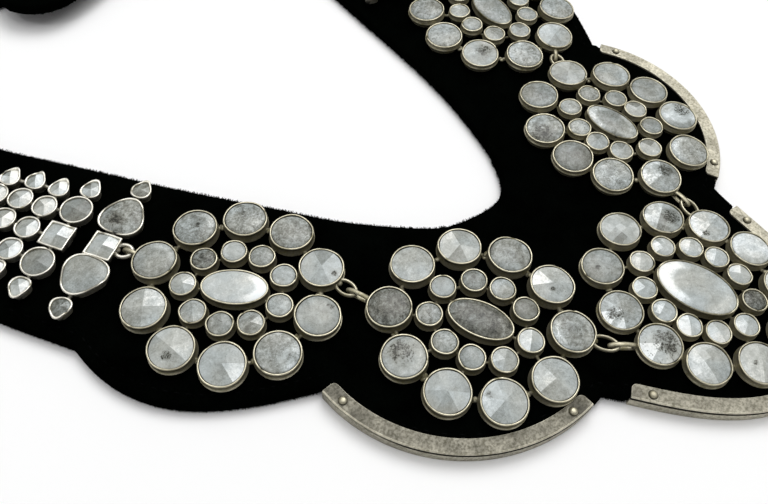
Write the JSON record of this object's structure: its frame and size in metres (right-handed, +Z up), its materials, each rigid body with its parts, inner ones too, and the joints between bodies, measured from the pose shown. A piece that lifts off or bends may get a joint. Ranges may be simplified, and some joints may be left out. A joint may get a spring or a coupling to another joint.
{
  "type": "velvet choker",
  "caption": "Scalloped velvet collar, closed in a loop at the back, with hooked rosettes and lattices of pale stones in metal cups and riveted metal edge clips.",
  "frame": {"origin": "Middle of the bounding box on the surface that the choker lies on.", "axes": "+Z up out of the stones, away from the surface; +Y from the front rosette towards the back of the neck; +X to the wearer's left side in front view, which is the right of the plan seen from above."},
  "size_m": [0.1914, 0.2714, 0.0076],
  "materials": {
    "velvet": "black cut-pile velvet, matt with a faint sheen at grazing angles",
    "setting_metal": "antiqued warm silver, bright worn rims over olive-brown tarnished walls",
    "clip_metal": "mottled grey sheet metal with a bright worn outer edge",
    "stone": "cloudy milky stone, polished, with grey inclusions and dark flecks"
  },
  "bodies": {
    "root": {"velvet_band": "velvet", "edge_clip_left": "clip_metal", "rivet_left_1": "setting_metal", "rivet_left_2": "setting_metal", "edge_clip_centre": "clip_metal", "rivet_centre_1": "setting_metal", "rivet_centre_2": "setting_metal", "edge_clip_right": "clip_metal", "rivet_right_1": "setting_metal", "rivet_right_2": "setting_metal", "setting_left_back": "setting_metal", "setting_left_front": "setting_metal", "setting_centre": "setting_metal", "setting_right_front": "setting_metal", "setting_right_back": "setting_metal", "lattice_left": "setting_metal", "lattice_right": "setting_metal", "oval_stone_left_back": "stone", "oval_stone_left_front": "stone", "oval_stone_centre": "stone", "oval_stone_right_front": "stone", "oval_stone_right_back": "stone", "stone_left_front_1": "stone", "stone_left_front_2": "stone", "stone_left_front_3": "stone", "stone_left_front_4": "stone", "stone_left_front_5": "stone", "stone_left_front_6": "stone", "stone_left_front_7": "stone", "stone_left_front_8": "stone", "stone_left_front_9": "stone", "stone_left_front_10": "stone", "stone_centre_1": "stone", "stone_centre_2": "stone", "stone_centre_3": "stone", "stone_centre_4": "stone", "stone_centre_5": "stone", "stone_centre_6": "stone", "stone_centre_7": "stone", "stone_centre_8": "stone", "stone_centre_9": "stone", "stone_centre_10": "stone", "stone_centre_11": "stone", "stone_right_front_1": "stone", "stone_right_front_2": "stone", "stone_right_front_3": "stone", "stone_right_front_4": "stone", "stone_right_front_5": "stone", "stone_right_front_6": "stone", "stone_right_front_7": "stone", "stone_right_front_8": "stone", "stone_right_front_9": "stone", "stone_right_front_10": "stone", "trillion_stone_left_1": "stone", "trillion_stone_left_2": "stone", "trillion_stone_right_1": "stone", "trillion_stone_right_2": "stone", "snap_fastener": "setting_metal"}
  },
  "joints": []
}
